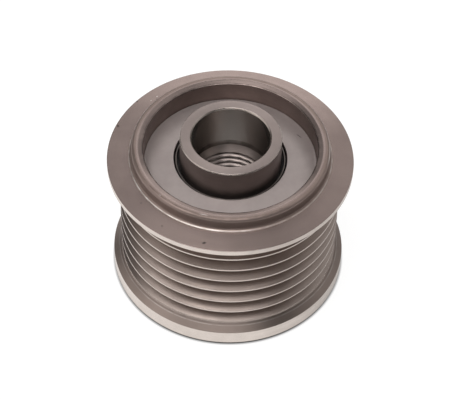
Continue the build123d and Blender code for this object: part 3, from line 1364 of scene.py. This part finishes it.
@dataclass
class FrontSeal:
    """The steel case and rubber lip at the bottom of the front recess.

    Attributes:
        sheet: thickness of the case's sheet.
        inner_radius: inner radius of the case's flange.
        lip_sheet: thickness of the lip at its root.
        lip_inside: inner radius of the lip's underside.
        lip_radius: radius of the lip's edge.
        segments: number of flats round the axis.
    """

    sheet: float = 0.6
    inner_radius: float = 12.9
    lip_sheet: float = 0.45
    lip_inside: float = 12.285
    lip_radius: float = 12.06
    segments: int = 192

    def build(self, steel: PressedSteel, rubber: SoftFinish) -> None:
        """Make both pieces and give them their finishes.

        Args:
            steel: the steel of the case.
            rubber: the rubber of the lip.
        """
        low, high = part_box("front_seal_case")
        outer = high[0] / MM
        foot = low[2] / MM
        case = TurnedSection([
            Corner(self.inner_radius, foot, 0.12, 3),
            Corner(outer, foot, 0.35, 4),
            Corner(outer, high[2] / MM, 0.08, 2),
            Corner(outer - self.sheet, high[2] / MM, 0.08, 2),
            Corner(outer - self.sheet, foot + self.sheet, 0.25, 3),
            Corner(self.inner_radius, foot + self.sheet, 0.12, 3),
        ])
        mesh = turned_mesh("front_case", case, self.segments, {Coat.FACE: steel.material()})
        new_piece("front_case", Body.PULLEY, mesh, ["front_seal_case"])
        low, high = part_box("front_seal_lip")
        root = high[0] / MM
        foot = low[2] / MM
        lip = TurnedSection([
            Corner(self.lip_inside, foot, 0.05, 2),
            Corner(root, foot, 0.06, 2),
            Corner(root, foot + self.lip_sheet, 0.12, 3),
            Corner(self.lip_radius, high[2] / MM, 0.06, 3),
        ])
        mesh = turned_mesh("front_lip", lip, self.segments, {Coat.FACE: rubber.material()})
        new_piece("front_lip", Body.PULLEY, mesh, ["front_seal_lip"])


@dataclass
class RunningParts:
    """The pieces between ring and hub, which keep their CAD shapes.

    Attributes:
        rollers: number of clamping rollers.
        needles: number of needles in a row.
    """

    rollers: int = 10
    needles: int = 12

    def dress_all(self, steel: RollingSteel, spring: RollingSteel, plastic: SoftFinish) -> None:
        """Give every hidden piece its own finish.

        Args:
            steel: finish of rollers, needles and sleeve.
            spring: finish of the leaf springs.
            plastic: finish of cages and thrust rings.
        """
        bright = steel.material()
        leaf = spring.material()
        moulded = plastic.material()
        dress("clutch_sleeve", bright)
        for name in (
            "clutch_cage", "front_needle_cage", "rear_needle_cage", "front_thrust_ring", "rear_thrust_ring",
        ):
            dress(name, moulded)
        for number in range(1, self.rollers + 1):
            dress(f"clutch_roller_{number:02d}", bright)
            dress(f"clutch_spring_{number:02d}", leaf)
        for number in range(1, self.needles + 1):
            dress(f"front_needle_{number:02d}", bright)
            dress(f"rear_needle_{number:02d}", bright)


# The studio


@dataclass
class Camera:
    """The camera at the photograph's angle.

    Attributes:
        focal: focal length in pixels of a frame 467 pixels wide.
        frame_width: that width.
        sensor: sensor width in millimetres.
        place: where it stands, in millimetres.
        tilt: degrees that it looks down.
        pan: degrees that it turns to the right.
        roll: degrees that it leans.
        near: nearest distance that it sees, in metres.
    """

    focal: float = 1743.5
    frame_width: float = 467.0
    sensor: float = 36.0
    place: tuple[float, float, float] = (0.0, -257.6, 311.05)
    tilt: float = 48.63
    pan: float = 0.14
    roll: float = 1.57
    near: float = 0.01

    def build(self) -> None:
        """Make the camera and look through it."""
        tilt, pan, roll = (math.radians(value) for value in (self.tilt, self.pan, self.roll))
        ahead = Vector((0.0, math.cos(tilt), -math.sin(tilt)))
        right = Vector((1.0, 0.0, 0.0))
        up = Vector((0.0, math.sin(tilt), math.cos(tilt)))
        panned = math.cos(pan) * ahead + math.sin(pan) * right
        right = math.cos(pan) * right - math.sin(pan) * ahead
        leaned = math.cos(roll) * right + math.sin(roll) * up
        up = math.cos(roll) * up - math.sin(roll) * right
        data = bpy.data.cameras.new("studio_camera")
        data.sensor_width = self.sensor
        data.lens = self.focal * self.sensor / self.frame_width
        data.clip_start = self.near
        camera = bpy.data.objects.new("studio_camera", data)
        turn = Matrix((leaned, up, -panned)).transposed().to_4x4()
        camera.matrix_world = Matrix.Translation(Vector(self.place) * MM) @ turn
        bpy.context.scene.collection.objects.link(camera)
        bpy.context.scene.camera = camera


@dataclass
class Glow:
    """One soft bright patch of the sky.

    Attributes:
        azimuth: degrees from +X round to its middle.
        rise: degrees from the horizon up to its middle.
        core: degrees from its middle to where it starts to fade.
        edge: degrees from its middle to where it ends.
        colour: the light that it adds to the sky.
    """

    azimuth: float
    rise: float
    core: float
    edge: float
    colour: Colour

    def add(self, bench: NodeBench, way: Socket, sky: Socket) -> Socket:
        """Add the patch to the sky.

        Args:
            bench: the bench of the world's nodes.
            way: the direction that is looked in.
            sky: the sky so far.

        Returns:
            The sky with the patch.
        """
        azimuth, rise = math.radians(self.azimuth), math.radians(self.rise)
        flat = math.cos(rise)
        middle = (flat * math.cos(azimuth), flat * math.sin(azimuth), math.sin(rise))
        nearness = bench.vector("DOT_PRODUCT", way, middle).outputs["Value"]
        edge, core = math.cos(math.radians(self.edge)), math.cos(math.radians(self.core))
        fade = bench.spread(nearness, (edge, core), soft=True)
        light = bench.vector("SCALE", self.colour)
        bench.link(fade, light.inputs["Scale"])
        return bench.vector("ADD", sky, light.outputs[0]).outputs[0]


@dataclass
class Studio:
    """The floor and the sky, which is all the light there is.

    Attributes:
        floor_half: half the side of the floor, in metres.
        floor_gap: how far it lies below the pulley, in metres.
        floor_colour: how much of the sky's light the floor sends back.
        floor_glow: brightness that the floor has for the camera and for the metal.
        painted_contact_shadow: (radius of the painted shadow where the pulley meets the floor, radius where
            it ends), in metres.
        painted_hole_glow: (radius of the painted pool of light on the floor under the hub's hole, radius
            where it ends), in metres.
        shade: (start, full, end, clear) places to the right between which the metal sees the floor dimmed
            by painted shade.
        shade_level: how much of its brightness that painted shade leaves there.
        sky: colour of the sky between its bright patches.
        glows: the sky's bright patches.
    """

    floor_half: float = 3.0
    floor_gap: float = 0.00005
    floor_colour: float = 0.25
    floor_glow: float = 0.86
    painted_contact_shadow: tuple[float, float] = (0.0259, 0.0266)
    painted_hole_glow: tuple[float, float] = (0.0120, 0.0125)
    shade: tuple[float, float, float, float] = (0.006, 0.026, 0.058, 0.072)
    shade_level: float = 0.62
    sky: Colour = (0.085, 0.084, 0.083)
    glows: tuple[Glow, ...] = (
        Glow(88.0, 21.5, 4.0, 24.0, (1.13, 1.11, 1.09)),
        Glow(101.0, 45.0, 7.0, 17.0, (0.96, 0.95, 0.94)),
        Glow(77.0, 39.5, 4.0, 14.0, (0.54, 0.53, 0.52)),
        Glow(112.0, 58.0, 3.0, 13.0, (0.34, 0.335, 0.33)),
        Glow(194.0, 67.0, 7.0, 28.0, (2.22, 2.18, 2.14)),
        Glow(272.0, 77.0, 8.0, 24.5, (3.30, 3.25, 3.20)),
        Glow(190.0, 11.0, 12.0, 46.0, (0.68, 0.66, 0.64)),
        Glow(26.0, 47.5, 13.0, 41.0, (0.63, 0.62, 0.61)),
    )

    def floor_glow_level(self, bench: NodeBench) -> Socket:
        """Work out how bright the floor is in itself, with a painted shadow round the pulley, a painted
        pool of light under the hub's hole and painted shade to the right.

        Args:
            bench: the bench of the floor's nodes.

        Returns:
            Its brightness, which only the camera and the metal see.
        """
        place = bench.place()
        away = bench.vector("LENGTH", place).outputs["Value"]
        # Painted shadow: the floor's glow is dark under the pulley and fades in just round it.
        outside = bench.spread(away, self.painted_contact_shadow, (0.0, self.floor_glow))
        # Painted light: a bright pool on the floor under the hub's hole, which the bore sees.
        clear = bench.sum("MAXIMUM", outside, bench.spread(away, self.painted_hole_glow, (1.0, 0.0)))
        # Painted shade: the floor that the metal sees is dimmer to the right of the pulley.
        start, full, end, again = self.shade
        across = bench.separate(place)[0]
        near = bench.spread(across, (start, full), (1.0, self.shade_level))
        far = bench.spread(across, (end, again), (self.shade_level, 1.0))
        mirrored = bench.sum("MULTIPLY", clear, bench.sum("MAXIMUM", near, far))
        rays = bench.add("ShaderNodeLightPath").outputs
        metal = bench.sum("MAXIMUM", rays["Is Glossy Ray"], rays["Is Transmission Ray"])
        direct = bench.sum("MULTIPLY", rays["Is Camera Ray"], clear)
        return bench.sum("MAXIMUM", direct, bench.sum("MULTIPLY", metal, mirrored))

    def floor_material(self) -> bpy.types.Material:
        """Make the floor's material, which keeps a faint shadow and carries the painted shadow and painted
        light of its glow.

        Returns:
            The finished material.
        """
        material = bpy.data.materials.new("studio_floor")
        material.use_nodes = True
        bench = NodeBench(material.node_tree)
        diffuse = bench.add("ShaderNodeBsdfDiffuse")
        pale = self.floor_colour
        diffuse.inputs["Color"].default_value = (pale, pale, pale, 1.0)
        glow = bench.add("ShaderNodeEmission")
        bench.link(self.floor_glow_level(bench), glow.inputs["Strength"])
        both = bench.add("ShaderNodeAddShader")
        bench.link(diffuse.outputs[0], both.inputs[0])
        bench.link(glow.outputs[0], both.inputs[1])
        bench.link(both.outputs[0], bench.add("ShaderNodeOutputMaterial").inputs["Surface"])
        return material

    def floor(self) -> None:
        """Lay the pale floor."""
        side = self.floor_half
        corners = [(-side, -side, 0.0), (side, -side, 0.0), (side, side, 0.0), (-side, side, 0.0)]
        mesh = bpy.data.meshes.new("studio_floor")
        mesh.from_pydata(corners, [], [(0, 1, 2, 3)])
        mesh.materials.append(self.floor_material())
        floor = bpy.data.objects.new("studio_floor", mesh)
        floor.location = (0.0, 0.0, -self.floor_gap)
        bpy.context.scene.collection.objects.link(floor)

    def heaven(self) -> None:
        """Light the world softly, with bright patches like the windows of a studio."""
        world = bpy.data.worlds.new("studio_sky")
        bpy.context.scene.world = world
        world.use_nodes = True
        bench = NodeBench(world.node_tree)
        way = bench.add("ShaderNodeTexCoord").outputs["Generated"]
        sky = bench.combine(*self.sky)
        for glow in self.glows:
            sky = glow.add(bench, way, sky)
        soft = bench.add("ShaderNodeBackground")
        bench.link(sky, soft.inputs["Color"])
        white = bench.add("ShaderNodeBackground")
        white.inputs["Color"].default_value = (1.0, 1.0, 1.0, 1.0)
        mixed = bench.add("ShaderNodeMixShader")
        bench.link(bench.add("ShaderNodeLightPath").outputs["Is Camera Ray"], mixed.inputs[0])
        bench.link(soft.outputs[0], mixed.inputs[1])
        bench.link(white.outputs[0], mixed.inputs[2])
        bench.link(mixed.outputs[0], bench.add("ShaderNodeOutputWorld").inputs["Surface"])

    def build(self) -> None:
        """Set up the whole studio."""
        self.heaven()
        self.floor()
        bpy.context.scene.view_settings.view_transform = "Standard"


def ring_finishes() -> dict[Coat, TurnedSteel]:
    """Set out the finishes of the outer ring, face by face, several of them with painted light and shade.

    Returns:
        The finish of each of its coats.
    """
    return {
        Coat.FACE: TurnedSteel(
            "turned_ring_steel", (0.362, 0.287, 0.265), (0.322, 0.252, 0.235), smooth=0.22, dull=0.27,
            brushed=0.75, line_depth=0.0015, marks=(
                Mark((-5.0, -24.87, 33.02), 0.95, 0.65, 20.0, Tone.DARK),
                Mark((-24.96, 8.21, 32.85), 0.95, 0.60, 110.0, Tone.DARK),
                Mark((-21.21, 15.98, 32.80), 0.70, 0.45, 125.0, Tone.DARK),
                Mark((-18.65, -14.57, 33.32), 0.45, 0.35, 0.0, Tone.DARK),
                Mark((-16.75, 16.38, 33.36), 0.55, 0.40, 0.0, Tone.DARK),
                Mark((-13.93, -20.62, 33.10), 0.45, 0.35, 30.0, Tone.DARK),
                Mark((-16.79, 17.29, 33.24), 0.40, 0.25, 45.0, Tone.BRIGHT),
                Mark((-18.07, 15.98, 33.24), 0.35, 0.22, 45.0, Tone.BRIGHT),
            ),
        ),
        # Land steel: a much paler copy of the ring's steel, a painted sheen on the bands and lands that
        # face the floor.
        Coat.LAND: TurnedSteel(
            "land_steel_painted_sheen", (0.70, 0.625, 0.575), (0.64, 0.57, 0.52), smooth=0.20, dull=0.28,
            line_scale=6.0, line_depth=0.002,
        ),
        # Cone steel: its dark line is painted shade in the corner by the land, its bright line a painted
        # highlight on that edge.
        Coat.CONE: TurnedSteel(
            "cone_steel_painted_lines", (0.34, 0.277, 0.248), (0.305, 0.247, 0.223), line_depth=0.0015, painted_lines=(
                PaintedLine(24.55, 0.28, 4.4, 5.4, 0.28),
                PaintedLine(24.84, 0.18, 4.2, 5.2, 0.25, Tone.BRIGHT),
            ),
        ),
        Coat.RIM: TurnedSteel(
            "rim_steel", (0.365, 0.29, 0.268), (0.325, 0.257, 0.24), smooth=0.22, dull=0.27,
            brushed=0.88, line_depth=0.001, marks=(
                Mark((-16.53, 10.44, 36.45), 0.45, 0.25, 60.0, Tone.BRIGHT),
            ),
        ),
        # Bevel steel: a darker copy of the rim's steel as painted shade, with painted shade lines along its
        # inner edge and on its two sides.
        Coat.BEVEL: TurnedSteel(
            "bevel_steel_painted_shade", (0.325, 0.26, 0.24), (0.29, 0.23, 0.215), smooth=0.20, dull=0.24,
            brushed=0.70, line_depth=0.001, painted_lines=(
                PaintedLine(19.10, 0.44, 35.8, 36.6, 0.55),
                PaintedLine(19.55, 0.80, 35.8, 36.6, 0.26, Tone.DARK, 0.0, 20.0),
                PaintedLine(19.55, 0.80, 35.8, 36.6, 0.24, Tone.DARK, 178.0, 20.0),
            ),
        ),
        # Rim neck steel: its bright lines and bright marks are painted highlights and glints on the fillet
        # and shoulder, its dark lines painted shade on the shoulder.
        Coat.NECK: TurnedSteel(
            "rim_neck_steel_painted_light", (0.335, 0.262, 0.235), (0.297, 0.230, 0.207), smooth=0.44, dull=0.50,
            brushed=0.3, line_depth=0.001, painted_lines=(
                PaintedLine(22.05, 0.28, 33.3, 34.1, 0.35, Tone.BRIGHT),
                PaintedLine(22.05, 0.28, 33.3, 34.1, 0.90, Tone.BRIGHT, 243.0, 30.0),
                PaintedLine(20.92, 0.30, 36.1, 36.6, 0.40, Tone.DARK, 218.0, 26.0),
                PaintedLine(21.45, 0.22, 35.5, 36.2, 0.50, Tone.BRIGHT, 12.0, 18.0),
                PaintedLine(21.08, 0.50, 35.9, 36.5, 0.40, Tone.DARK, 277.0, 24.0),
                *(
                    PaintedLine(21.42, 0.20, 35.6, 36.2, 0.80, Tone.BRIGHT, middle, reach)
                    for middle, reach in ((150.0, 4.6), (160.0, 1.7), (167.0, 1.4))
                ),
            ),
            marks=(
                Mark((-5.20, -20.05, 36.35), 2.20, 0.16, -15.0, Tone.BRIGHT),
                Mark((-14.55, -14.95, 36.35), 0.40, 0.25, -45.0, Tone.BRIGHT),
            ),
        ),
        # Crest steel: a much paler copy of the ring's steel, a painted sheen on the crests between the belt
        # grooves.
        Coat.CREST: TurnedSteel(
            "crest_steel_painted_sheen", (0.68, 0.60, 0.55), (0.61, 0.535, 0.49), smooth=0.24, dull=0.32,
            line_depth=0.001,
        ),
        # Recess wall steel: a darker copy of the ring's steel, painted shade on the wall of the rear
        # recess.
        Coat.WALL: TurnedSteel(
            "recess_wall_steel_painted_shade", (0.23, 0.180, 0.165), (0.199, 0.155, 0.140), smooth=0.38, dull=0.46,
        ),
        # Groove steel: painted shade darkens it towards the groove roots.
        Coat.GROOVE: TurnedSteel(
            "groove_steel_painted_shade", (0.38, 0.32, 0.292), (0.34, 0.285, 0.26), line_depth=0.001,
            root_radius=21.0, root_fade=1.6, root_shade=0.2,
        ),
    }


def hub_finishes() -> dict[Coat, TurnedSteel]:
    """Set out the finishes of the hub, two of them with painted light and shade.

    Returns:
        The finish of each of its coats.
    """
    nick = Mark((-1.69, 8.55, 39.0), 0.50, 0.50, 0.0, Tone.DARK)
    return {
        Coat.FACE: TurnedSteel(
            "hub_steel", (0.32, 0.267, 0.252), (0.29, 0.243, 0.23), patch_scale=340.0, smooth=0.275,
            dull=0.305, brushed=0.82, line_scale=7.0, line_depth=0.0004, marks=(nick,),
        ),
        # Hub edge steel: a paler copy of the hub's steel, a painted highlight on the chamfers round the
        # hub's top.
        Coat.EDGE: TurnedSteel(
            "hub_edge_steel_painted_highlight", (0.60, 0.53, 0.49), (0.54, 0.47, 0.43), smooth=0.22, dull=0.30,
            marks=(nick,),
        ),
        # Bore steel: paler than the hub's face, partly the ground bore's own steel and partly a painted
        # sheen for its streak; its dark line is painted shade low in the smooth bore.
        Coat.BORE: TurnedSteel(
            "bore_steel_painted_light", (0.52, 0.485, 0.455), (0.49, 0.455, 0.425), patch_scale=200.0, smooth=0.21,
            dull=0.23, line_scale=3.0, line_depth=0.0001, brushed=0.965, painted_lines=(
                PaintedLine(8.5, 1.0, 27.7, 29.1, 0.45),
            ),
        ),
        Coat.THREAD: TurnedSteel(
            "thread_steel", (0.33, 0.28, 0.265), (0.30, 0.255, 0.24), smooth=0.28, dull=0.34,
            line_scale=6.0, line_depth=0.001, brushed=0.7,
        ),
    }


def main() -> None:
    """Build the pulley piece by piece, then the studio round it."""
    logging.basicConfig(level=logging.INFO, format="%(name)s: %(message)s")
    disc_steel = PressedSteel(
        "dished_disc_steel", (0.452, 0.395, 0.382), (0.413, 0.356, 0.345), smooth=0.36, dull=0.44,
        metal=0.45, marks=(Mark((15.01, 7.75, 31.73), 1.80, 0.30, -41.0, Tone.DARK),),
    )
    case_steel = PressedSteel(
        "seal_case_steel", (0.16, 0.14, 0.13), (0.12, 0.105, 0.10), smooth=0.34, dull=0.44,
    )
    rolling = RollingSteel("rolling_steel", (0.74, 0.73, 0.72))
    leaf = RollingSteel("leaf_spring_steel", (0.55, 0.54, 0.55), 0.22, 0.34)
    rubber = SoftFinish("seal_rubber", (0.045, 0.043, 0.042), (0.018, 0.018, 0.019), 0.62, 0.77, 0.004)
    plastic = SoftFinish("cage_plastic", (0.20, 0.18, 0.16), (0.11, 0.10, 0.09), 0.48, 0.63, 0.003)
    OuterRing().build(ring_finishes())
    EndDisc().build(disc_steel)
    Hub().build(hub_finishes())
    RearSeal().build(case_steel, rubber)
    FrontSeal().build(case_steel, rubber)
    RunningParts().dress_all(rolling, leaf, plastic)
    Camera().build()
    Studio().build()


if __name__ == "__main__":
    main()
